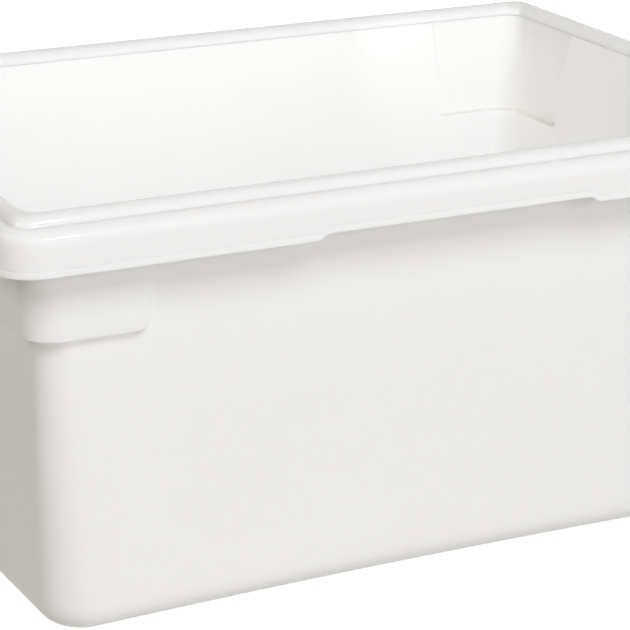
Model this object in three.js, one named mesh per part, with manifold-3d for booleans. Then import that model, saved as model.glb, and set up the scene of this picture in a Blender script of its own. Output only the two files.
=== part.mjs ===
// A food storage box in two pieces: an open tub, and a rim frame that snaps over the top of its wall.
// Millimetres, +Z up. The box stands on z = 0, centred on the Z axis, with its long sides along X.
// An inset is measured inwards from the skirt's outer face, and a drop downwards from the lip's crown.
import * as THREE from "three";
import { mergeVertices } from "three/addons/utils/BufferGeometryUtils.js";
import Module from "manifold-3d";

// Overall size, over the skirt and the lip of the rim frame
const boxLength = 654;
const boxWidth = 457;
const boxHeight = 305;
const skirtCornerRadius = 30.6;

// Rim frame: a round lip, a shoulder outside it and a hanging skirt, hollow from below
const lipRadius = 8.65;
const lipInset = 19.9;
const lipFootCornerRadius = 14;
const shoulderDrop = 7.1;
const shoulderHeight = 10.5;
const valleyWidth = 0.9;
const valleyCornerRadius = 12;
const skirtDrop = 37.9;
const frameWall = 2.6;

// Lower edge of the skirt: a bead above the edge, raised along the middle of each long side
const beadHeight = 4.8;
const beadGrooveDepth = 0.2;
const beadGrooveWidth = 2.4;
const skirtEdgeRadius = 0.9;
const gripLength = 209.6;
const gripRise = 4.2;
const gripRun = 9;

// Joint: the tub's tongue stands in the frame's groove, and a bead on the tub snaps into the web
const jointClearance = 0.3;
const tongueThickness = 3.5;
const webDrop = 20;
const snapDrop = 14.5;
const snapReach = 0.8;
const snapHeight = 4;

// Tub wall: it leans in from the frame to a waist, then runs with a slight draft down to the base
const wallThickness = 3.5;
const floorThickness = 3.5;
const waistDrop = 55;
const waistEndInset = 33.9;
const waistSideInset = 32.1;
const waistCornerRadius = 21;
const baseEndInset = 42;
const baseSideInset = 34.9;
const baseCornerRadius = 33.5;
const baseEdgeRadius = 20;
const baseSideBow = 6.1;

// Corner lugs: the wall pushed outwards round each corner, hollow inside, with a flat underside.
// They grow longer upwards, by the growth given here at the height of the lip's crown.
const lugDrop = 91.3;
const lugLengthAlongSide = 84.5;
const lugLengthAlongEnd = 90;
const lugGrowthAlongSide = 1.8;
const lugGrowthAlongEnd = 7.3;
const lugProudOfEnd = 8.2;
const lugProudOfSide = 5.9;
const lugCornerRadius = 24;
const lugEdgeRadius = 1.6;
const lugLowerCornerRadius = 12;
const lugFloorThickness = 3.5;

// Fineness of the curved surfaces
const cornerSteps = 7;
const filletSteps = 5;
const lipSteps = 6;
const shoulderSteps = 3;
const leanSteps = 5;
const bowSteps = 10;
const gripSteps = 4;
const sharpestCorner = 0.5;

// Places that follow from the sizes above
const frameLegInset = lipInset + lipRadius;
const grooveInnerInset = frameLegInset - frameWall;
const tongueInnerInset = grooveInnerInset - jointClearance;
const tongueOuterInset = tongueInnerInset - tongueThickness;
const grooveOuterInset = tongueOuterInset - jointClearance;
const webOuterInset = grooveOuterInset - frameWall;
const riserOuterInset = lipInset - lipRadius;
const riserInnerInset = riserOuterInset + frameWall;
const lipStart = Math.PI + Math.asin(Math.max(lipRadius - shoulderDrop, 0) / lipRadius);
const valleyInset = lipInset + lipRadius * Math.cos(lipStart);
const shoulderWidth = valleyInset - valleyWidth;
const crownSkin = 0.6 * frameWall;
const hollowTopDrop = lipRadius - Math.sqrt((lipRadius - crownSkin) ** 2 - (lipRadius - frameWall) ** 2);
const tongueTopHeight = boxHeight - hollowTopDrop - jointClearance;
const ledgeHeight = boxHeight - lipRadius - jointClearance;
const flangeHeight = boxHeight - webDrop;
const waistHeight = boxHeight - waistDrop;
const lugHeight = boxHeight - lugDrop;

const wasm = await Module();
wasm.setup();

// Corner radius of a loop that runs parallel to the skirt
function parallelRadius(inset) {
  return Math.max(skirtCornerRadius - inset, sharpestCorner);
}

function between(from, to, share) {
  return from + (to - from) * share;
}

// Rise of the skirt's lower edge at a place along the long side, with S-shaped ends
function gripLift(x) {
  const share = (gripLength / 2 + gripRun / 2 - Math.abs(x)) / gripRun;
  const eased = THREE.MathUtils.smoothstep(share, 0, 1);
  return gripRise * eased;
}

// Places along a long side where the skirt's lower edge needs a point
function gripStations() {
  const places = [];
  for (const end of [-1, 1]) {
    for (let step = 0; step <= gripSteps; step += 1) {
      places.push(end * (gripLength / 2) + gripRun * (step / gripSteps - 0.5));
    }
  }
  return places;
}

// Places along a long side where the bowed wall needs a point
function bowStations(reach) {
  const places = [];
  for (let step = 1; step < bowSteps; step += 1) {
    places.push(reach * (2 * step / bowSteps - 1));
  }
  return places;
}

// One closed loop round the box: a rounded rectangle, counter-clockwise from above.
// Its long sides may bow inwards, and its height may change along them.
function loopRound({ endInset, sideInset, radius, height, bow = 0 }, stationsFor, liftAt = () => 0) {
  const reachX = boxLength / 2 - endInset - radius;
  const reachY = boxWidth / 2 - sideInset - radius;
  const stations = stationsFor(reachX);
  const points = [];
  for (let quarter = 0; quarter < 4; quarter += 1) {
    const centreX = quarter === 0 || quarter === 3 ? reachX : -reachX;
    const centreY = quarter < 2 ? reachY : -reachY;
    for (let step = 0; step <= cornerSteps; step += 1) {
      const angle = (quarter + step / cornerSteps) * Math.PI / 2;
      const x = centreX + radius * Math.cos(angle);
      const y = centreY + radius * Math.sin(angle);
      points.push(new THREE.Vector3(x, y, height));
    }
    if (quarter === 1 || quarter === 3) continue;
    const side = quarter === 0 ? 1 : -1;
    const ordered = side > 0 ? stations.toReversed() : stations;
    for (const x of ordered) {
      const drawnIn = bow * (1 - (x / reachX) ** 2);
      const y = side * (reachY + radius - drawnIn);
      points.push(new THREE.Vector3(x, y, height + liftAt(x)));
    }
  }
  return points;
}

// A surface through a row of loops. A row that closes on itself makes a ring, and an open row is
// closed by a flat face at each end.
function skinOver(loops, closesOnItself) {
  const count = loops[0].length;
  const positions = loops.flat().flatMap((point) => point.toArray());
  const faces = [];
  const rows = closesOnItself ? loops.length : loops.length - 1;
  for (let row = 0; row < rows; row += 1) {
    const lower = row * count;
    const upper = ((row + 1) % loops.length) * count;
    for (let place = 0; place < count; place += 1) {
      const next = (place + 1) % count;
      faces.push(lower + place, lower + next, upper + next);
      faces.push(lower + place, upper + next, upper + place);
    }
  }
  if (!closesOnItself) {
    const bottomCentre = positions.length / 3;
    const topCentre = bottomCentre + 1;
    const topLoop = (loops.length - 1) * count;
    positions.push(0, 0, loops[0][0].z, 0, 0, loops.at(-1)[0].z);
    for (let place = 0; place < count; place += 1) {
      const next = (place + 1) % count;
      faces.push(bottomCentre, next, place);
      faces.push(topCentre, topLoop + place, topLoop + next);
    }
  }
  const geometry = new THREE.BufferGeometry();
  geometry.setAttribute("position", new THREE.Float32BufferAttribute(positions, 3));
  geometry.setIndex(faces);
  return geometry;
}

// A geometry as a solid for cutting and joining, and back again
function solidFrom(geometry) {
  const bare = geometry.clone();
  bare.deleteAttribute("normal");
  bare.deleteAttribute("uv");
  const merged = mergeVertices(bare, 1e-3);
  const mesh = new wasm.Mesh({
    numProp: 3,
    vertProperties: new Float32Array(merged.attributes.position.array),
    triVerts: new Uint32Array(merged.index.array),
  });
  return new wasm.Manifold(mesh);
}

function geometryFrom(solid) {
  const mesh = solid.getMesh();
  const geometry = new THREE.BufferGeometry();
  geometry.setAttribute("position", new THREE.BufferAttribute(mesh.vertProperties, 3));
  geometry.setIndex(new THREE.BufferAttribute(mesh.triVerts, 1));
  geometry.computeVertexNormals();
  return geometry;
}

// Rim frame

// Points of the frame's section, in one run from the skirt's lower edge up its outer face, over the lip
// and back along the underside. The stretch at the edge follows its rise along the long sides.
function frameSection() {
  const grooveTop = skirtDrop - beadHeight - beadGrooveWidth / 2;
  const grooveMiddle = skirtDrop - beadHeight;
  const grooveBottom = skirtDrop - beadHeight + beadGrooveWidth / 2;
  const shoulderFootDrop = shoulderDrop + shoulderHeight;
  const shoulderUnderDrop = shoulderDrop + frameWall;

  const edge = new THREE.Path();
  edge.moveTo(frameWall, skirtDrop);
  edge.lineTo(skirtEdgeRadius, skirtDrop);
  edge.absarc(skirtEdgeRadius, skirtDrop - skirtEdgeRadius, skirtEdgeRadius, Math.PI / 2, Math.PI, false);
  edge.lineTo(0, grooveBottom);
  edge.lineTo(beadGrooveDepth, grooveMiddle);
  edge.lineTo(0, grooveTop);

  const top = new THREE.Path();
  top.absellipse(
    shoulderWidth, shoulderFootDrop, shoulderWidth, shoulderHeight, Math.PI, 1.5 * Math.PI, false,
  );

  const lip = new THREE.Path();
  lip.absarc(lipInset, lipRadius, lipRadius, lipStart, 2 * Math.PI, false);

  const underside = new THREE.Path();
  underside.moveTo(grooveInnerInset, lipRadius);
  underside.lineTo(grooveInnerInset, hollowTopDrop);
  underside.lineTo(grooveOuterInset, hollowTopDrop);
  underside.lineTo(grooveOuterInset, snapDrop - snapHeight / 2);
  underside.lineTo(grooveOuterInset - snapReach, snapDrop);
  underside.lineTo(grooveOuterInset, snapDrop + snapHeight / 2);
  underside.lineTo(grooveOuterInset, webDrop);
  underside.lineTo(webOuterInset, webDrop);
  underside.lineTo(webOuterInset, hollowTopDrop);
  underside.lineTo(riserInnerInset, hollowTopDrop);
  underside.lineTo(riserInnerInset, shoulderUnderDrop);
  underside.absellipse(
    shoulderWidth, shoulderFootDrop, shoulderWidth - frameWall, shoulderHeight - frameWall,
    1.5 * Math.PI, Math.PI, true,
  );

  const run = (path, steps, stretch) =>
    path.getPoints(steps).map(({ x, y }) => ({ inset: x, drop: y, stretch }));
  return [
    ...run(edge, 1, "edge"),
    ...run(top, shoulderSteps, "top"),
    ...run(lip, lipSteps, "lip"),
    ...run(underside, shoulderSteps, "underside"),
  ];
}

// Round a corner, the shoulder narrows towards the valley, and the lip's inner side widens to a rounder
// corner at its foot. The rest runs parallel to the skirt.
function frameRadius({ inset, stretch }) {
  const crownRadius = parallelRadius(lipInset);
  if (stretch === "top") return between(skirtCornerRadius, valleyCornerRadius, inset / valleyInset);
  if (stretch !== "lip") return parallelRadius(inset);
  if (inset > lipInset) return between(crownRadius, lipFootCornerRadius, (inset - lipInset) / lipRadius);
  return between(valleyCornerRadius, crownRadius, (inset - valleyInset) / (lipInset - valleyInset));
}

function rimFrame() {
  const section = frameSection();
  const loops = section.map((point) => {
    const place = {
      endInset: point.inset,
      sideInset: point.inset,
      radius: frameRadius(point),
      height: boxHeight - point.drop,
    };
    return loopRound(place, gripStations, point.stretch === "edge" ? gripLift : undefined);
  });
  return skinOver(loops, true);
}

// Tub

// Outer face of the wall between the base and the waist
function lowerWall(height) {
  const share = height / waistHeight;
  return {
    endInset: between(baseEndInset, waistEndInset, share),
    sideInset: between(baseSideInset, waistSideInset, share),
    radius: between(baseCornerRadius, waistCornerRadius, share),
    bow: between(baseSideBow, 0, share),
    height,
  };
}

// Outer face of the wall between the waist and the ledge, leaning out more and more
function upperWall(height) {
  const share = ((height - waistHeight) / (ledgeHeight - waistHeight)) ** 2;
  return {
    endInset: between(waistEndInset, frameLegInset - wallThickness, share),
    sideInset: between(waistSideInset, frameLegInset - wallThickness, share),
    radius: between(waistCornerRadius, lipFootCornerRadius + wallThickness, share),
    height,
  };
}

// Outer face of the lugs, straight from the frame down to their underside
function lugWall(height) {
  const share = (height - lugHeight) / (ledgeHeight - lugHeight);
  const wall = lowerWall(lugHeight);
  return {
    endInset: between(wall.endInset - lugProudOfEnd, frameLegInset - wallThickness, share),
    sideInset: between(wall.sideInset - lugProudOfSide, frameLegInset - wallThickness, share),
    radius: between(lugCornerRadius, lipFootCornerRadius + wallThickness, share),
    height,
  };
}

// The same loop moved inwards, as for the inner face of a wall
function movedIn(place, distance) {
  return {
    ...place,
    endInset: place.endInset + distance,
    sideInset: place.sideInset + distance,
    radius: Math.max(place.radius - distance, sharpestCorner),
  };
}

// Loops of a wall that rounds into a flat face below it
function roundedFoot(wallAt, footHeight, radius, thickness) {
  const places = [];
  for (let step = 0; step <= filletSteps; step += 1) {
    const angle = (step / filletSteps) * Math.PI / 2;
    const height = footHeight + radius * (1 - Math.cos(angle));
    places.push(movedIn(wallAt(height), thickness + radius * (1 - Math.sin(angle))));
  }
  return places;
}

// Loops of the leaning wall from just above the waist up to a given height
function leaningWall(topHeight, thickness) {
  const places = [];
  for (let step = 1; step <= leanSteps; step += 1) {
    const height = between(waistHeight, topHeight, step / leanSteps);
    places.push(movedIn(upperWall(height), thickness));
  }
  return places;
}

function jointLoop(inset, height) {
  return { endInset: inset, sideInset: inset, radius: parallelRadius(inset), height };
}

// The solid between a row of places, from the lowest up
function bodyThrough(places) {
  return solidFrom(skinOver(places.map((place) => loopRound(place, bowStations)), false));
}

// The tub as a full block: base, wall, flange under the frame's web, snap bead and tongue
function outerBody() {
  return bodyThrough([
    ...roundedFoot(lowerWall, 0, baseEdgeRadius, 0),
    lowerWall(waistHeight),
    ...leaningWall(flangeHeight, 0),
    jointLoop(tongueOuterInset, flangeHeight),
    jointLoop(tongueOuterInset, boxHeight - snapDrop - snapHeight / 2),
    jointLoop(tongueOuterInset - snapReach, boxHeight - snapDrop),
    jointLoop(tongueOuterInset, boxHeight - snapDrop + snapHeight / 2),
    jointLoop(tongueOuterInset, tongueTopHeight),
  ]);
}

// The space inside the tub, with the ledge on which the frame's inner leg sits
function cavity() {
  const footRadius = Math.max(baseEdgeRadius - wallThickness, sharpestCorner);
  return bodyThrough([
    ...roundedFoot(lowerWall, floorThickness, footRadius, wallThickness),
    movedIn(lowerWall(waistHeight), wallThickness),
    ...leaningWall(ledgeHeight, wallThickness),
    jointLoop(tongueInnerInset, ledgeHeight),
    jointLoop(tongueInnerInset, boxHeight),
  ]);
}

// Two upright blocks that keep what lies beyond a distance from the middle of the box.
// Their inner faces lean towards the middle, and their lower inner corners are rounded.
function endBlocks(fromMiddle, growth, footHeight, cornerRadius, span) {
  const far = boxLength;
  const outline = new THREE.Shape();
  outline.moveTo(far, footHeight);
  outline.lineTo(far, boxHeight);
  outline.lineTo(fromMiddle - growth, boxHeight);
  outline.absarc(
    fromMiddle + cornerRadius, footHeight + cornerRadius, cornerRadius, Math.PI, 1.5 * Math.PI, false,
  );
  const block = new THREE.ExtrudeGeometry(outline, {
    depth: span,
    bevelEnabled: false,
    curveSegments: 2 * filletSteps,
  });
  block.rotateX(Math.PI / 2);
  block.translate(0, span / 2, 0);
  const other = block.clone().rotateZ(Math.PI);
  return [block, other];
}

// What remains of a body in the four corners of the box
function cornersOf(body, sideMiddle, endMiddle, footHeight, cornerRadius) {
  const span = 2 * boxLength;
  const alongX = endBlocks(sideMiddle, lugGrowthAlongSide, footHeight, cornerRadius, span);
  const alongY = endBlocks(endMiddle, lugGrowthAlongEnd, footHeight, cornerRadius, span);
  for (const block of alongY) block.rotateZ(Math.PI / 2);
  const [right, left] = alongX.map(solidFrom);
  const [back, front] = alongY.map(solidFrom);
  return body.intersect(right.add(left)).intersect(back.add(front));
}

// Distances from the middle of the box to the free ends of the lugs
const lugFace = lugWall(lugHeight);
const lugEndAlongSide = boxLength / 2 - lugFace.endInset - lugLengthAlongSide;
const lugEndAlongEnd = boxWidth / 2 - lugFace.sideInset - lugLengthAlongEnd;

function lugs() {
  const body = bodyThrough([
    ...roundedFoot(lugWall, lugHeight, lugEdgeRadius, 0),
    lugWall(flangeHeight + jointClearance),
  ]);
  return cornersOf(body, lugEndAlongSide, lugEndAlongEnd, lugHeight, lugLowerCornerRadius);
}

function lugHollows() {
  const footHeight = lugHeight + lugFloorThickness;
  const body = bodyThrough([
    ...roundedFoot(lugWall, footHeight, lugEdgeRadius, wallThickness),
    movedIn(lugWall(ledgeHeight), wallThickness),
  ]);
  const cornerRadius = Math.max(lugLowerCornerRadius - wallThickness, sharpestCorner);
  return cornersOf(
    body, lugEndAlongSide + wallThickness, lugEndAlongEnd + wallThickness, footHeight, cornerRadius,
  );
}

function tub() {
  const block = outerBody().add(lugs());
  return geometryFrom(block.subtract(cavity()).subtract(lugHollows()));
}

// Materials and the finished group

const tubPlastic = new THREE.MeshStandardMaterial({ color: 0xe9e8e4, roughness: 0.55, metalness: 0 });
const framePlastic = new THREE.MeshStandardMaterial({ color: 0xf0efeb, roughness: 0.3, metalness: 0 });

const tubMesh = new THREE.Mesh(tub(), tubPlastic);
tubMesh.name = "tub";

const frameMesh = new THREE.Mesh(rimFrame(), framePlastic);
frameMesh.name = "rim_frame";

const foodBox = new THREE.Group();
foodBox.add(tubMesh, frameMesh);

export default foodBox;
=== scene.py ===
import math

import bmesh
import bpy
from mathutils import Euler, Matrix, Vector


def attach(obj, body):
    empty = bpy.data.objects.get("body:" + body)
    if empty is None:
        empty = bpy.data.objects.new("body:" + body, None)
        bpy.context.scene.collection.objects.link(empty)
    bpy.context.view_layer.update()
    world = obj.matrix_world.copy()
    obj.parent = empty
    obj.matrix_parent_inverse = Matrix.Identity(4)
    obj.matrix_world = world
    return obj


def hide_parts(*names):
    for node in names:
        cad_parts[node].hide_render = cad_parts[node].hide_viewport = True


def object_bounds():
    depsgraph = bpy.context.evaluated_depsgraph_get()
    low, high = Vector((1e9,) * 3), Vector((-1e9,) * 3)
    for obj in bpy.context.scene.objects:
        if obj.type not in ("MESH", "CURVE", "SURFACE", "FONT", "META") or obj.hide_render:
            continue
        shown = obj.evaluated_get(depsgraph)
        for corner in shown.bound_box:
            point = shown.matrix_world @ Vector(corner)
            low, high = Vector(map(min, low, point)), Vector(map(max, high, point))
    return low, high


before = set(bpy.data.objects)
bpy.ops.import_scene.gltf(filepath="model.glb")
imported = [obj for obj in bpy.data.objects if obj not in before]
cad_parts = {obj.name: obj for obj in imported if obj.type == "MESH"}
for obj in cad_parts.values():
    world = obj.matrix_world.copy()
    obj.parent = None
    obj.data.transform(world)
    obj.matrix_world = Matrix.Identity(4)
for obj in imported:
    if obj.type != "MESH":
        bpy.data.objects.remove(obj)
cad_low, cad_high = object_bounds()


# Tub
# One deep moulding of white polyethylene: a flat floor, four walls with a slight draft and four hollow
# lugs round the upper corners. A tongue along its top edge stands in the groove of the rim frame.

# Both mouldings are worked out in millimetres. An inset is measured inwards from the outer face of the
# frame's skirt, and a drop downwards from the crown of its lip.
mm_per_metre = 1000
half_length, half_width, box_height = (mm_per_metre * value for value in cad_high)

wall = 3.5
floor_thickness = 3.5
waist_drop = 55.0
waist_end = 33.9
waist_side = 32.1
waist_corner = 21.0
base_end = 42.0
base_side = 34.9
base_corner = 33.5
base_edge = 20.0
base_bow = 6.1
sharpest_corner = 0.5
waist_height = box_height - waist_drop

# The upper edge, which the frame's lip and groove fit over
skirt_corner = 30.6
lip_radius = 8.65
lip_inset = 19.9
lip_foot_corner = 14.0
frame_wall = 2.6
joint_gap = 0.3
tongue = 3.5
tongue_chamfer = 0.6
ledge_bevel = 0.05
web_drop = 20.0
snap_drop = 14.5
snap_reach = 0.8
snap_half = 2.0
frame_leg = lip_inset + lip_radius
tongue_inner = frame_leg - frame_wall - joint_gap
tongue_outer = tongue_inner - tongue
crown_skin = 0.6 * frame_wall
hollow_top = lip_radius - math.sqrt((lip_radius - crown_skin) ** 2 - (lip_radius - frame_wall) ** 2)
tongue_top = box_height - hollow_top - joint_gap
ledge_height = box_height - lip_radius - joint_gap
flange_height = box_height - web_drop
snap_height = box_height - snap_drop

# The corner lugs, which grow longer upwards by a share of their height
lug_drop = 91.3
lug_length_side = 84.5
lug_length_end = 90.0
lug_proud_end = 8.2
lug_proud_side = 5.9
lug_corner = 24.0
lug_edge = 4.0
lug_foot_edge = 1.6
lug_lower_corner = 12.0
lug_floor = 3.5
lug_growth_side = 0.02
lug_growth_end = 0.08
growth_reach = 60.0
upturn_reach = 30.0
lug_height = box_height - lug_drop
recess_floor = lug_height + lug_floor
recess_lower_corner = lug_lower_corner - wall


def between(start, end, share):
    return start + (end - start) * share


# A loop round the box at one height, given by its insets
def loop(end, side, corner, height, bow=0.0):
    return {"end": end, "side": side, "corner": corner, "height": height, "bow": bow}


def moved_in(place, distance):
    return loop(
        place["end"] + distance,
        place["side"] + distance,
        max(place["corner"] - distance, sharpest_corner),
        place["height"],
        place["bow"],
    )


def lower_wall(height):
    share = height / waist_height
    return loop(
        between(base_end, waist_end, share),
        between(base_side, waist_side, share),
        between(base_corner, waist_corner, share),
        height,
        between(base_bow, 0.0, share),
    )


# Above the waist the wall leans out more and more towards the rim
def plain_wall(height):
    if height <= waist_height:
        return lower_wall(height)
    share = ((height - waist_height) / (ledge_height - waist_height)) ** 2
    return loop(
        between(waist_end, frame_leg - wall, share),
        between(waist_side, frame_leg - wall, share),
        between(waist_corner, lip_foot_corner + wall, share),
        height,
    )


lug_foot_end = lower_wall(lug_height)["end"] - lug_proud_end
lug_foot_side = lower_wall(lug_height)["side"] - lug_proud_side


# The outer face of the lugs runs straight from the rim down to their underside
def lug_wall(height):
    share = (height - lug_height) / (ledge_height - lug_height)
    return loop(
        between(lug_foot_end, frame_leg - wall, share),
        between(lug_foot_side, frame_leg - wall, share),
        between(lug_corner, lip_foot_corner + wall, share),
        height,
    )


# A loop on the flat underside of the lugs or floor of their recesses, at a share of the way out
def ledge_loop(height, thickness, share):
    foot = moved_in(lower_wall(height), thickness)
    return loop(
        between(foot["end"], lug_foot_end + thickness + lug_foot_edge, share),
        between(foot["side"], lug_foot_side + thickness + lug_foot_edge, share),
        between(foot["corner"], lug_corner - thickness - lug_foot_edge, share),
        height,
        between(foot["bow"], 0.0, share),
    )


# Loops of a wall that rounds into the flat face below it, from that face upwards
def rounded_foot(wall_at, foot_height, radius, thickness, steps):
    places = []
    for step in range(steps + 1):
        angle = math.radians(90 * step / steps)
        height = foot_height + radius * (1 - math.cos(angle))
        places.append(moved_in(wall_at(height), thickness + radius * (1 - math.sin(angle))))
    return places


def joint_loop(inset, height):
    return loop(inset, inset, skirt_corner - inset, height)


lug_end_x = half_length - lug_foot_end - lug_length_side
lug_end_y = half_width - lug_foot_side - lug_length_end
plain_side_places = [0, 30, 60, 90, 120, 150, 180, 198]
plain_end_places = [0, 25, 50, 70, 86]
steps_before_lug = (6, 2)
lug_edge_shares = (0.0, 0.02, 0.07, 0.16, 0.3, 0.5, 0.75, 1.0)
steps_after_edge = (1.5, 3, 4.5, 7, 14)
tub_corner_steps = 14


# Places along half a wall, from its middle towards the corner, close together where a lug stands out of it
def places_along(plain_places, lug_start):
    places = plain_places + [lug_start - step for step in steps_before_lug]
    places += [lug_start + lug_edge * share for share in lug_edge_shares]
    places += [lug_start + lug_edge + step for step in steps_after_edge]
    return places


# Places along a quarter of the box, from the middle of the front wall round the corner to the middle of
# the end wall. Each has its stretch, a distance or an angle along it, and where the lug starts there.
def stations_round(lug_x, lug_y):
    stations = [("side", place, lug_x) for place in places_along(plain_side_places, lug_x)]
    for step in range(tub_corner_steps + 1):
        stations.append(("corner", -90 + 90 * step / tub_corner_steps, None))
    stations += [("end", place, lug_y) for place in reversed(places_along(plain_end_places, lug_y))]
    return stations


# The lugs grow longer upwards, so the places near a lug's free end move along the wall with the height
def moved_with_lug(station, height):
    kind, value, lug_start = station
    if kind == "corner":
        return value
    growth = lug_growth_side if kind == "side" else lug_growth_end
    near = max(1 - abs(value - lug_start) / growth_reach, 0.0)
    return value - near * growth * max(height - lug_height, 0.0)


def point_at(place, station):
    kind = station[0]
    value = moved_with_lug(station, place["height"])
    reach_x = half_length - place["end"] - place["corner"]
    reach_y = half_width - place["side"] - place["corner"]
    if kind == "side":
        drawn_in = place["bow"] * (1 - (value / reach_x) ** 2)
        return Vector((value, -(half_width - place["side"] - drawn_in), place["height"]))
    if kind == "end":
        return Vector((half_length - place["end"], -value, place["height"]))
    angle = math.radians(value)
    x = reach_x + place["corner"] * math.cos(angle)
    y = -reach_y + place["corner"] * math.sin(angle)
    return Vector((x, y, place["height"]))


# How far the surface has risen from the wall to the lug, as a quarter round
def lug_share(station):
    kind, value, lug_start = station
    if kind == "corner":
        return 1.0
    depth = min(max((value - lug_start) / lug_edge, 0.0), 1.0)
    return math.sqrt(1 - (1 - depth) ** 2)


# The lug's lower edge turns up in a round corner at its free end
def corner_lift(station, radius):
    kind, value, lug_start = station
    if kind == "corner":
        return 0.0
    depth = value - lug_start
    if depth < 0:
        return radius * max(1 + depth / upturn_reach, 0.0)
    if depth > radius:
        return 0.0
    return radius - math.sqrt(radius ** 2 - (radius - depth) ** 2)


# Heights of the plain rows, each with how much of the lug's upturned corner it follows
rows_below_lug = ((40, 0), (80, 0), (120, 0), (160, 0), (185, 0.2), (200, 0.6), (210, 0.9))
rows_above_foot = ((224, 0.9), (230, 0.6), (238, 0.2))
rows_above_recess = ((243, 0.2), (235, 0.6), (229, 0.9))

# Rows of the lugs' flat faces: the share of the way out from the wall, and a drop below the face where the
# row turns down into the wall. On the wall itself, the rows of one face are spread over a small height.
under_lug = ((0.0, 1.0), (0.0, 0.35), (0.15, 0.05), (0.6, 0.0), (1.0, 0.0))
over_recess = ((0.5, 0.0), (0.15, 0.0), (0.05, 0.25), (0.0, 0.9))
spread_under_lug = 1.0
spread_over_recess = 2.0

base_steps = 8
foot_steps = 6
outer_lean_steps = 8
inner_lean_steps = 12

# Each row is a loop on the plain wall, one on the lug, the radius of the lug's lower corner and how much
# of its upturn the row takes. The outer rows run upwards.
outer_rows = []
for place in rounded_foot(lower_wall, 0.0, base_edge, 0.0, base_steps):
    outer_rows.append((place, place, 0, 0))
for height, upturn in rows_below_lug:
    outer_rows.append((lower_wall(height), lower_wall(height), lug_lower_corner, upturn))
for share, drop in under_lug:
    on_wall = lower_wall(lug_height - spread_under_lug + share)
    outer_rows.append((on_wall, ledge_loop(lug_height - drop, 0.0, share), lug_lower_corner, 1))
lug_foot = rounded_foot(lug_wall, lug_height, lug_foot_edge, 0.0, foot_steps)
for step in range(1, foot_steps + 1):
    on_wall = lower_wall(lug_height + lug_foot_edge * step / foot_steps)
    outer_rows.append((on_wall, lug_foot[step], lug_lower_corner, 1))
for height, upturn in (*rows_above_foot, (waist_height, 0)):
    outer_rows.append((lower_wall(height), lug_wall(height), lug_lower_corner, upturn))
for step in range(1, outer_lean_steps + 1):
    height = between(waist_height, flange_height, step / outer_lean_steps)
    outer_rows.append((plain_wall(height), lug_wall(height), 0, 0))

# Over the flange, the snap bead and the tongue to the ledge inside it
joint_loops = [
    joint_loop(tongue_outer + tongue_chamfer, flange_height),
    joint_loop(tongue_outer, flange_height + tongue_chamfer),
    joint_loop(tongue_outer, snap_height - snap_half),
    joint_loop(tongue_outer - snap_reach, snap_height),
    joint_loop(tongue_outer, snap_height + snap_half),
    joint_loop(tongue_outer, tongue_top - tongue_chamfer),
    joint_loop(tongue_outer + tongue_chamfer, tongue_top),
    joint_loop(tongue_inner - tongue_chamfer, tongue_top),
    joint_loop(tongue_inner, tongue_top - tongue_chamfer),
    joint_loop(tongue_inner, ledge_height),
    moved_in(plain_wall(ledge_height), wall - ledge_bevel),
]

# The inner rows run down again, from the ledge to the floor
inner_rows = []
for step in range(inner_lean_steps + 1):
    height = between(ledge_height, waist_height, step / inner_lean_steps)
    if step == 0:
        height -= ledge_bevel
    inner_rows.append((moved_in(plain_wall(height), wall), moved_in(lug_wall(height), wall), 0, 0))
for height, upturn in rows_above_recess:
    on_wall = moved_in(lower_wall(height), wall)
    on_lug = moved_in(lug_wall(height), wall)
    inner_rows.append((on_wall, on_lug, recess_lower_corner, upturn))
for place in reversed(rounded_foot(lug_wall, recess_floor, lug_foot_edge, wall, foot_steps)):
    on_wall = moved_in(lower_wall(place["height"]), wall)
    inner_rows.append((on_wall, place, recess_lower_corner, 1))
for share, drop in over_recess:
    on_wall = moved_in(lower_wall(recess_floor - spread_over_recess * (1 - share)), wall)
    inner_rows.append((on_wall, ledge_loop(recess_floor - drop, wall, share), recess_lower_corner, 1))
for height, upturn in reversed(rows_below_lug):
    place = moved_in(lower_wall(height), wall)
    inner_rows.append((place, place, recess_lower_corner, upturn))
for place in reversed(rounded_foot(lower_wall, floor_thickness, base_edge - wall, wall, base_steps)):
    inner_rows.append((place, place, 0, 0))

outer_stations = stations_round(lug_end_x, lug_end_y)
inner_stations = stations_round(lug_end_x + wall, lug_end_y + wall)


def row_points(row, stations):
    on_wall, on_lug, radius, upturn = row
    points = []
    for station in stations:
        point = point_at(on_wall, station).lerp(point_at(on_lug, station), lug_share(station))
        if upturn:
            point.z += upturn * corner_lift(station, radius)
        points.append(point / mm_per_metre)
    return points


rows = [row_points(row, outer_stations) for row in outer_rows]
rows += [row_points((place, place, 0, 0), inner_stations) for place in joint_loops]
rows += [row_points(row, inner_stations) for row in inner_rows]


# A finished bmesh as a piece of the object, smooth but for its real edges
def finished_piece(name, mesh):
    bmesh.ops.recalc_face_normals(mesh, faces=mesh.faces)
    data = bpy.data.meshes.new(name)
    mesh.to_mesh(data)
    mesh.free()
    data.shade_smooth()
    data.set_sharp_from_angle(angle=math.radians(35))
    piece = bpy.data.objects.new(name, data)
    bpy.context.collection.objects.link(piece)
    return piece


# One quarter is made and then mirrored to the other side and the other end
def mirrored_to_whole(mesh):
    for axis in "XY":
        everything = mesh.verts[:] + mesh.edges[:] + mesh.faces[:]
        bmesh.ops.mirror(mesh, geom=everything, matrix=Matrix.Identity(4), merge_dist=1e-6, axis=axis)


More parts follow.
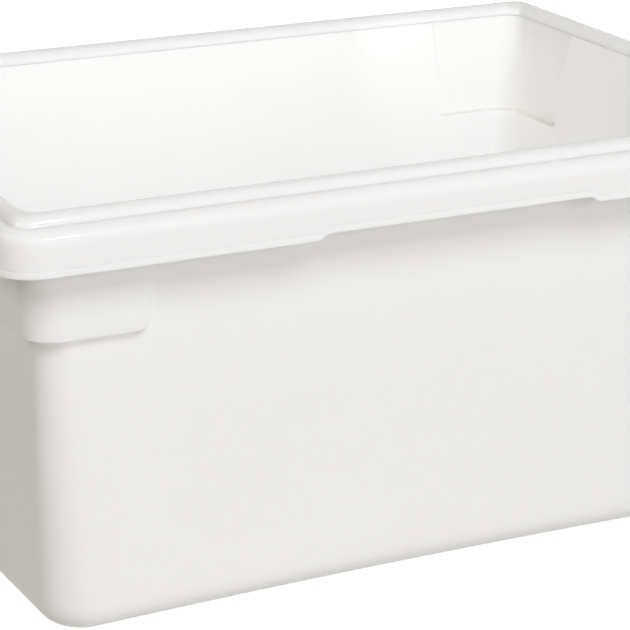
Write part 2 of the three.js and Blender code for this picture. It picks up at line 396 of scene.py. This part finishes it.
tub_mesh = bmesh.new()
sheet = bmesh.ops.create_grid(
    tub_mesh, x_segments=len(outer_stations) - 1, y_segments=len(rows) - 1, size=1
)
for vert, point in zip(sheet["verts"], [point for row in rows for point in row], strict=True):
    vert.co = point
mirrored_to_whole(tub_mesh)
bmesh.ops.holes_fill(tub_mesh, edges=[edge for edge in tub_mesh.edges if edge.is_boundary], sides=0)
tub = finished_piece("tub_moulding", tub_mesh)

# The colour sockets of a Mix node, which share their names with its other kinds of socket
mix_first, mix_second, mix_result = 6, 7, 2


# The plastic's own look, shared by both mouldings: a fine grain, soft clouding and faint rubbed marks
def moulded_look():
    group = bpy.data.node_groups.new("moulded_plastic", "ShaderNodeTree")
    for name, kind in (
        ("Clear Colour", "NodeSocketColor"),
        ("Clouded Colour", "NodeSocketColor"),
        ("Grain Scale", "NodeSocketFloat"),
        ("Roughness", "NodeSocketFloat"),
        ("Rubbed Roughness", "NodeSocketFloat"),
    ):
        group.interface.new_socket(name, in_out="INPUT", socket_type=kind)
    for name, kind in (
        ("Colour", "NodeSocketColor"),
        ("Roughness", "NodeSocketFloat"),
        ("Height", "NodeSocketFloat"),
    ):
        group.interface.new_socket(name, in_out="OUTPUT", socket_type=kind)
    nodes, links = group.nodes, group.links
    given = nodes.new("NodeGroupInput")
    result = nodes.new("NodeGroupOutput")
    where = nodes.new("ShaderNodeTexCoord")

    clouds = nodes.new("ShaderNodeTexNoise")
    clouds.inputs["Scale"].default_value = 9.0
    clouds.inputs["Detail"].default_value = 4.0
    clouds.inputs["Roughness"].default_value = 0.6
    links.new(where.outputs["Object"], clouds.inputs["Vector"])
    colour = nodes.new("ShaderNodeMix")
    colour.data_type = "RGBA"
    links.new(clouds.outputs["Fac"], colour.inputs["Factor"])
    links.new(given.outputs["Clear Colour"], colour.inputs[mix_first])
    links.new(given.outputs["Clouded Colour"], colour.inputs[mix_second])
    links.new(colour.outputs[mix_result], result.inputs["Colour"])

    stretched = nodes.new("ShaderNodeMapping")
    stretched.inputs["Scale"].default_value = (4.0, 4.0, 60.0)
    stretched.inputs["Rotation"].default_value = (0.5, 0.3, 0.2)
    links.new(where.outputs["Object"], stretched.inputs["Vector"])
    rubs = nodes.new("ShaderNodeTexNoise")
    rubs.inputs["Scale"].default_value = 6.0
    rubs.inputs["Detail"].default_value = 6.0
    links.new(stretched.outputs["Vector"], rubs.inputs["Vector"])
    rub_mask = nodes.new("ShaderNodeMapRange")
    rub_mask.inputs["From Min"].default_value = 0.55
    rub_mask.inputs["From Max"].default_value = 0.75
    links.new(rubs.outputs["Fac"], rub_mask.inputs["Value"])
    roughness = nodes.new("ShaderNodeMix")
    links.new(rub_mask.outputs["Result"], roughness.inputs["Factor"])
    links.new(given.outputs["Roughness"], roughness.inputs["A"])
    links.new(given.outputs["Rubbed Roughness"], roughness.inputs["B"])
    links.new(roughness.outputs["Result"], result.inputs["Roughness"])

    grain = nodes.new("ShaderNodeTexNoise")
    grain.inputs["Detail"].default_value = 3.0
    links.new(where.outputs["Object"], grain.inputs["Vector"])
    links.new(given.outputs["Grain Scale"], grain.inputs["Scale"])
    links.new(grain.outputs["Fac"], result.inputs["Height"])
    return group


plastic_look = moulded_look()


def plastic(name, clear, clouded, grain_scale, grain_depth, roughness, rubbed):
    material = bpy.data.materials.new(name)
    material.use_nodes = True
    nodes, links = material.node_tree.nodes, material.node_tree.links
    shader = nodes["Principled BSDF"]
    look = nodes.new("ShaderNodeGroup")
    look.node_tree = plastic_look
    look.inputs["Clear Colour"].default_value = (*clear, 1)
    look.inputs["Clouded Colour"].default_value = (*clouded, 1)
    look.inputs["Grain Scale"].default_value = grain_scale
    look.inputs["Roughness"].default_value = roughness
    look.inputs["Rubbed Roughness"].default_value = rubbed
    bump = nodes.new("ShaderNodeBump")
    bump.inputs["Distance"].default_value = grain_depth
    links.new(look.outputs["Colour"], shader.inputs["Base Color"])
    links.new(look.outputs["Roughness"], shader.inputs["Roughness"])
    links.new(look.outputs["Height"], bump.inputs["Height"])
    links.new(bump.outputs["Normal"], shader.inputs["Normal"])
    shader.inputs["IOR"].default_value = 1.5
    shader.inputs["Specular IOR Level"].default_value = 0.25
    return material


tub_plastic = plastic(
    "tub_plastic",
    clear=(0.925, 0.924, 0.916),
    clouded=(0.91, 0.908, 0.9),
    grain_scale=700,
    grain_depth=0.00012,
    roughness=0.5,
    rubbed=0.6,
)

# The narrow ledges inside the lugs, which face upwards at one height, are coloured a little darker and
# yellower than the rest of the tub
nodes, links = tub_plastic.node_tree.nodes, tub_plastic.node_tree.links
shader = nodes["Principled BSDF"]
plain_colour = shader.inputs["Base Color"].links[0].from_socket
facing = nodes.new("ShaderNodeSeparateXYZ")
links.new(nodes.new("ShaderNodeNewGeometry").outputs["Normal"], facing.inputs["Vector"])
position = nodes.new("ShaderNodeSeparateXYZ")
links.new(nodes.new("ShaderNodeTexCoord").outputs["Object"], position.inputs["Vector"])
above_ledge = nodes.new("ShaderNodeMath")
above_ledge.operation = "SUBTRACT"
above_ledge.inputs[1].default_value = (recess_floor + lug_foot_edge / 2) / mm_per_metre
links.new(position.outputs["Z"], above_ledge.inputs[0])
off_ledge = nodes.new("ShaderNodeMath")
off_ledge.operation = "ABSOLUTE"
links.new(above_ledge.outputs["Value"], off_ledge.inputs[0])
near_ledge = nodes.new("ShaderNodeMapRange")
near_ledge.inputs["From Min"].default_value = 0.003
near_ledge.inputs["From Max"].default_value = 0.0015
links.new(off_ledge.outputs["Value"], near_ledge.inputs["Value"])
facing_up = nodes.new("ShaderNodeMapRange")
facing_up.inputs["From Min"].default_value = 0.5
facing_up.inputs["From Max"].default_value = 0.95
links.new(facing.outputs["Z"], facing_up.inputs["Value"])
on_ledge = nodes.new("ShaderNodeMath")
on_ledge.operation = "MULTIPLY"
links.new(near_ledge.outputs["Result"], on_ledge.inputs[0])
links.new(facing_up.outputs["Result"], on_ledge.inputs[1])
# Mixes the darker, yellower colour onto the upward-facing ledges found by height and facing
darker_ledge = nodes.new("ShaderNodeMix")
darker_ledge.data_type = "RGBA"
darker_ledge.inputs[mix_second].default_value = (0.87, 0.857, 0.8, 1)
links.new(on_ledge.outputs["Value"], darker_ledge.inputs["Factor"])
links.new(plain_colour, darker_ledge.inputs[mix_first])
links.new(darker_ledge.outputs[mix_result], shader.inputs["Base Color"])
tub.data.materials.append(tub_plastic)
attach(tub, "root")
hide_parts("tub")


# Rim frame
# A second white moulding, smoother than the tub, that snaps over the top of its wall. It has a round lip,
# a shoulder outside it and a hanging skirt with a bead along its lower edge, raised along the long sides.

shoulder_drop = 7.1
shoulder_height = 10.5
valley_width = 0.9
valley_corner = 12.0
lip_root = 1.3
lip_foot_fill = 0.28
lip_foot_taper = 0.04
skirt_drop = 37.9
bead_height = 4.8
groove_depth = 0.2
groove_width = 2.4
skirt_edge = 0.9
skirt_chamfer = 0.5
grip_half = 104.8
grip_rise = 4.2
grip_run = 9.0
riser_outer = lip_inset - lip_radius
lip_foot_turn = math.asin((lip_radius - shoulder_drop) / lip_radius)
shoulder_width = lip_inset - lip_radius * math.cos(lip_foot_turn) - valley_width
shoulder_foot = shoulder_drop + shoulder_height
lip_turn = math.asin((lip_radius - shoulder_drop + lip_root) / lip_radius)
valley = lip_inset - lip_radius * math.cos(lip_turn)
groove_outer = tongue_outer - joint_gap
groove_inner = frame_leg - frame_wall
web_outer = groove_outer - frame_wall
bead_top = skirt_drop - bead_height


def arc(inset, drop, width, height, start, end, steps):
    angles = [math.radians(between(start, end, step / steps)) for step in range(steps + 1)]
    return [(inset + width * math.cos(angle), drop + height * math.sin(angle)) for angle in angles]


# The frame's section as insets and drops, from the skirt's lower edge up its outer face and over the lip
section = [(frame_wall, skirt_drop - skirt_chamfer), (frame_wall - skirt_chamfer, skirt_drop)]
section += arc(skirt_edge, skirt_drop - skirt_edge, skirt_edge, skirt_edge, 90, 180, steps=5)
bead_groove_steps = 8
for step in range(bead_groove_steps + 1):
    share = step / bead_groove_steps
    depth = groove_depth * (0.5 - 0.5 * math.cos(2 * math.pi * share))
    section.append((depth, bead_top + groove_width * (0.5 - share)))
section += arc(shoulder_width, shoulder_foot, shoulder_width, shoulder_height, 180, 270, steps=16)
section += arc(valley - lip_root, shoulder_drop - lip_root, lip_root, lip_root, 90, 0, steps=6)[:-1]
section += arc(lip_inset, lip_radius, lip_radius, lip_radius, 180 + math.degrees(lip_turn), 360, steps=28)

# Then back underneath: the lip's foot, the groove with its pocket for the snap bead, the web and the hollow
section += [
    (frame_leg - lip_foot_taper, lip_radius + lip_foot_fill),
    (groove_inner, lip_radius + lip_foot_fill),
    (groove_inner, hollow_top),
    (groove_outer, hollow_top),
    (groove_outer, snap_drop - snap_half),
    (groove_outer - snap_reach, snap_drop),
    (groove_outer, snap_drop + snap_half),
    (groove_outer, web_drop),
    (web_outer, web_drop),
    (web_outer, hollow_top),
    (riser_outer + frame_wall, hollow_top),
    (riser_outer + frame_wall, shoulder_drop + frame_wall),
]
under_width = shoulder_width - frame_wall
under_height = shoulder_height - frame_wall
section += arc(shoulder_width, shoulder_foot, under_width, under_height, 270, 180, steps=8)

frame_mesh = bmesh.new()
profile = [
    frame_mesh.verts.new(Vector((0, inset - half_width, box_height - drop)) / mm_per_metre)
    for inset, drop in section
]
edges = [frame_mesh.edges.new(pair) for pair in zip(profile, profile[1:] + profile[:1])]


# Draws the open end of the section along a straight stretch of the rim
def drawn_along(edges, way):
    new = bmesh.ops.extrude_edge_only(frame_mesh, edges=edges)["geom"]
    verts = [item for item in new if isinstance(item, bmesh.types.BMVert)]
    bmesh.ops.translate(frame_mesh, verts=verts, vec=Vector(way) / mm_per_metre)
    return [edge for edge in new if isinstance(edge, bmesh.types.BMEdge) and edge.is_boundary]


corner_x = half_length - skirt_corner
corner_y = half_width - skirt_corner
grip_steps = 10
places_past_grip = [200, 255]
end_steps = 2
places = [grip_half + grip_run * (step / grip_steps - 0.5) for step in range(grip_steps + 1)]
places += places_past_grip + [corner_x]
for start, end in zip([0] + places, places):
    edges = drawn_along(edges, (end - start, 0, 0))
turned = bmesh.ops.spin(
    frame_mesh,
    geom=edges,
    cent=Vector((corner_x, -corner_y, 0)) / mm_per_metre,
    axis=(0, 0, 1),
    angle=math.radians(90),
    steps=20,
    use_duplicate=False,
)
edges = [item for item in turned["geom_last"] if isinstance(item, bmesh.types.BMEdge)]
for step in range(end_steps):
    edges = drawn_along(edges, (0, corner_y / end_steps, 0))

near_enough = 0.01


# Round a corner, the shoulder narrows towards the valley, and the lip's inner side widens to the rounder
# corner of the tub's mouth. All else runs parallel to the skirt.
def rim_corner_radius(inset, drop):
    crown_corner = skirt_corner - lip_inset
    on_lip = abs(math.hypot(inset - lip_inset, drop - lip_radius) - lip_radius) < near_enough
    if on_lip and inset > lip_inset:
        return between(crown_corner, lip_foot_corner, (inset - lip_inset) / lip_radius)
    if on_lip and drop < shoulder_drop:
        return between(valley_corner, crown_corner, (inset - valley) / (lip_inset - valley))
    to_crest = 1 - min(max(inset / shoulder_width, 0.0), 1.0)
    top_drop = shoulder_foot - shoulder_height * math.sqrt(1 - to_crest ** 2)
    if inset < valley and drop < top_drop + near_enough:
        return between(skirt_corner, valley_corner, inset / valley)
    return skirt_corner - inset


# The skirt's lower edge rises along the grip in an S-shaped step, and the corners take their own radii
for vert in frame_mesh.verts:
    x, y, z = mm_per_metre * vert.co
    if abs(y) > half_width - frame_wall - near_enough and box_height - z > bead_top - groove_width:
        share = (grip_half + grip_run / 2 - abs(x)) / grip_run
        share = min(max(share, 0.0), 1.0)
        vert.co.z += grip_rise * share * share * (3 - 2 * share) / mm_per_metre
    out_x, out_y = x - corner_x, -y - corner_y
    if out_x > -near_enough and out_y > -near_enough:
        inset = skirt_corner - math.hypot(out_x, out_y)
        radius = rim_corner_radius(inset, box_height - z)
        turn = math.atan2(out_y, out_x)
        vert.co.x = (half_length - inset - radius + radius * math.cos(turn)) / mm_per_metre
        vert.co.y = -(half_width - inset - radius + radius * math.sin(turn)) / mm_per_metre

mirrored_to_whole(frame_mesh)
rim = finished_piece("rim_moulding", frame_mesh)
frame_plastic = plastic(
    "frame_plastic",
    clear=(0.918, 0.92, 0.921),
    clouded=(0.903, 0.904, 0.903),
    grain_scale=500,
    grain_depth=0.00003,
    roughness=0.1,
    rubbed=0.18,
)
glow = frame_plastic.node_tree.nodes["Principled BSDF"]
glow.inputs["Subsurface Weight"].default_value = 1.0
glow.inputs["Subsurface Radius"].default_value = (1.0, 0.97, 0.9)
glow.inputs["Subsurface Scale"].default_value = 0.002
rim.data.materials.append(frame_plastic)
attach(rim, "root")
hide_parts("rim_frame")


# Floor and surroundings
# A plain white studio: a pale floor that keeps the box's soft shadow, and a white room round it.

floor_mesh = bmesh.new()
bmesh.ops.create_grid(floor_mesh, x_segments=1, y_segments=1, size=12)
floor = finished_piece("studio_floor", floor_mesh)
floor_material = bpy.data.materials.new("studio_floor")
floor_material.use_nodes = True
nodes, links = floor_material.node_tree.nodes, floor_material.node_tree.links
floor_shader = nodes["Principled BSDF"]
floor_shader.inputs["Base Color"].default_value = (0.48, 0.465, 0.44, 1)
floor_shader.inputs["Roughness"].default_value = 0.9
floor_shader.inputs["Specular IOR Level"].default_value = 0.0
floor_shader.inputs["Emission Color"].default_value = (1, 1, 1, 1)


# One where the studio is seen directly, in a reflection or through the plastic
def seen_directly(nodes, links):
    path = nodes.new("ShaderNodeLightPath")
    seen = path.outputs["Is Camera Ray"]
    for name in ("Is Glossy Ray", "Is Transmission Ray"):
        either = nodes.new("ShaderNodeMath")
        either.operation = "MAXIMUM"
        links.new(seen, either.inputs[0])
        links.new(path.outputs[name], either.inputs[1])
        seen = either.outputs["Value"]
    return seen


glow_where_seen = 0.7
glow_everywhere = 0.16
added_white = nodes.new("ShaderNodeMath")
added_white.operation = "MULTIPLY_ADD"
added_white.inputs[1].default_value = glow_where_seen
added_white.inputs[2].default_value = glow_everywhere
links.new(seen_directly(nodes, links), added_white.inputs[0])
links.new(added_white.outputs["Value"], floor_shader.inputs["Emission Strength"])
floor.data.materials.append(floor_material)

room = bpy.data.worlds.new("white_room")
bpy.context.scene.world = room
room.use_nodes = True
nodes, links = room.node_tree.nodes, room.node_tree.links
backdrop = nodes["Background"]
shown = nodes.new("ShaderNodeMix")
shown.data_type = "RGBA"
shown.inputs[mix_first].default_value = (0.141, 0.118, 0.07, 1)
shown.inputs[mix_second].default_value = (1, 1, 1, 1)
links.new(seen_directly(nodes, links), shown.inputs["Factor"])
links.new(shown.outputs[mix_result], backdrop.inputs["Color"])


# Lamps
# Large soft lamps far off: two in front, one on the left and one behind. Two weak ones inside the box,
# below its lip, light the far and the right wall. A small one in front makes the glints on the rim.

def soft_lamp(name, place, aim, size, watts, colour):
    lamp = bpy.data.lights.new(name, "AREA")
    lamp.shape = "RECTANGLE"
    lamp.size, lamp.size_y = size
    lamp.energy = watts
    lamp.color = colour
    holder = bpy.data.objects.new(name, lamp)
    holder.location = place
    holder.rotation_euler = (Vector(aim) - Vector(place)).to_track_quat("-Z", "Y").to_euler()
    holder.visible_camera = False
    bpy.context.collection.objects.link(holder)
    return holder


middle = (0, 0, 0.2)
large = (2.3, 2.3)
front = soft_lamp("front_lamp", (0, -4.24, 4.44), middle, large, 158, (0.88, 0.905, 1.0))
front.visible_glossy = False
low_front = soft_lamp("low_front_lamp", (0.6, -5.82, 1.65), middle, large, 112, (0.98, 0.995, 1.0))
low_front.visible_glossy = False
soft_lamp("left_lamp", (-4.6, 0, 4.0), middle, large, 75, (1, 0.985, 0.97))
back = soft_lamp("back_lamp", (0, 4.24, 4.44), middle, large, 52, (0.94, 0.95, 1.0))
back.visible_glossy = False
soft_lamp(
    "inner_front_lamp",
    place=(-0.05, -0.165, 0.17),
    aim=(-0.05, 0.2, 0.17),
    size=(0.4, 0.14),
    watts=0.27,
    colour=(0.98, 0.99, 1.0),
)
soft_lamp(
    "inner_right_lamp",
    place=(0.14, 0.04, 0.295),
    aim=(0.29, 0.04, 0.3),
    size=(0.25, 0.03),
    watts=0.026,
    colour=(0.97, 0.985, 1.0),
)
glint = soft_lamp("glint_lamp", (0.48, -1.97, 2.0), middle, (0.06, 0.1), 15, (1, 1, 1))
glint.visible_diffuse = False


# Camera
# At the photograph's place, looking down on the front left corner of the box through a long lens.

camera_data = bpy.data.cameras.new("camera")
camera_data.sensor_width = 36.0
camera_data.lens = 157.17
camera_data.clip_end = 50.0
camera = bpy.data.objects.new("camera", camera_data)
bpy.context.collection.objects.link(camera)
camera.location = (-0.9017, -1.74965, 0.79225)
looking_down = 18.55
heading = -27.45
roll = 0.64
looking = Euler((math.radians(90 - looking_down), 0, math.radians(heading))).to_matrix()
camera.rotation_euler = (looking @ Matrix.Rotation(math.radians(roll), 3, "Z")).to_euler()
bpy.context.scene.camera = camera
bpy.context.scene.view_settings.view_transform = "Standard"
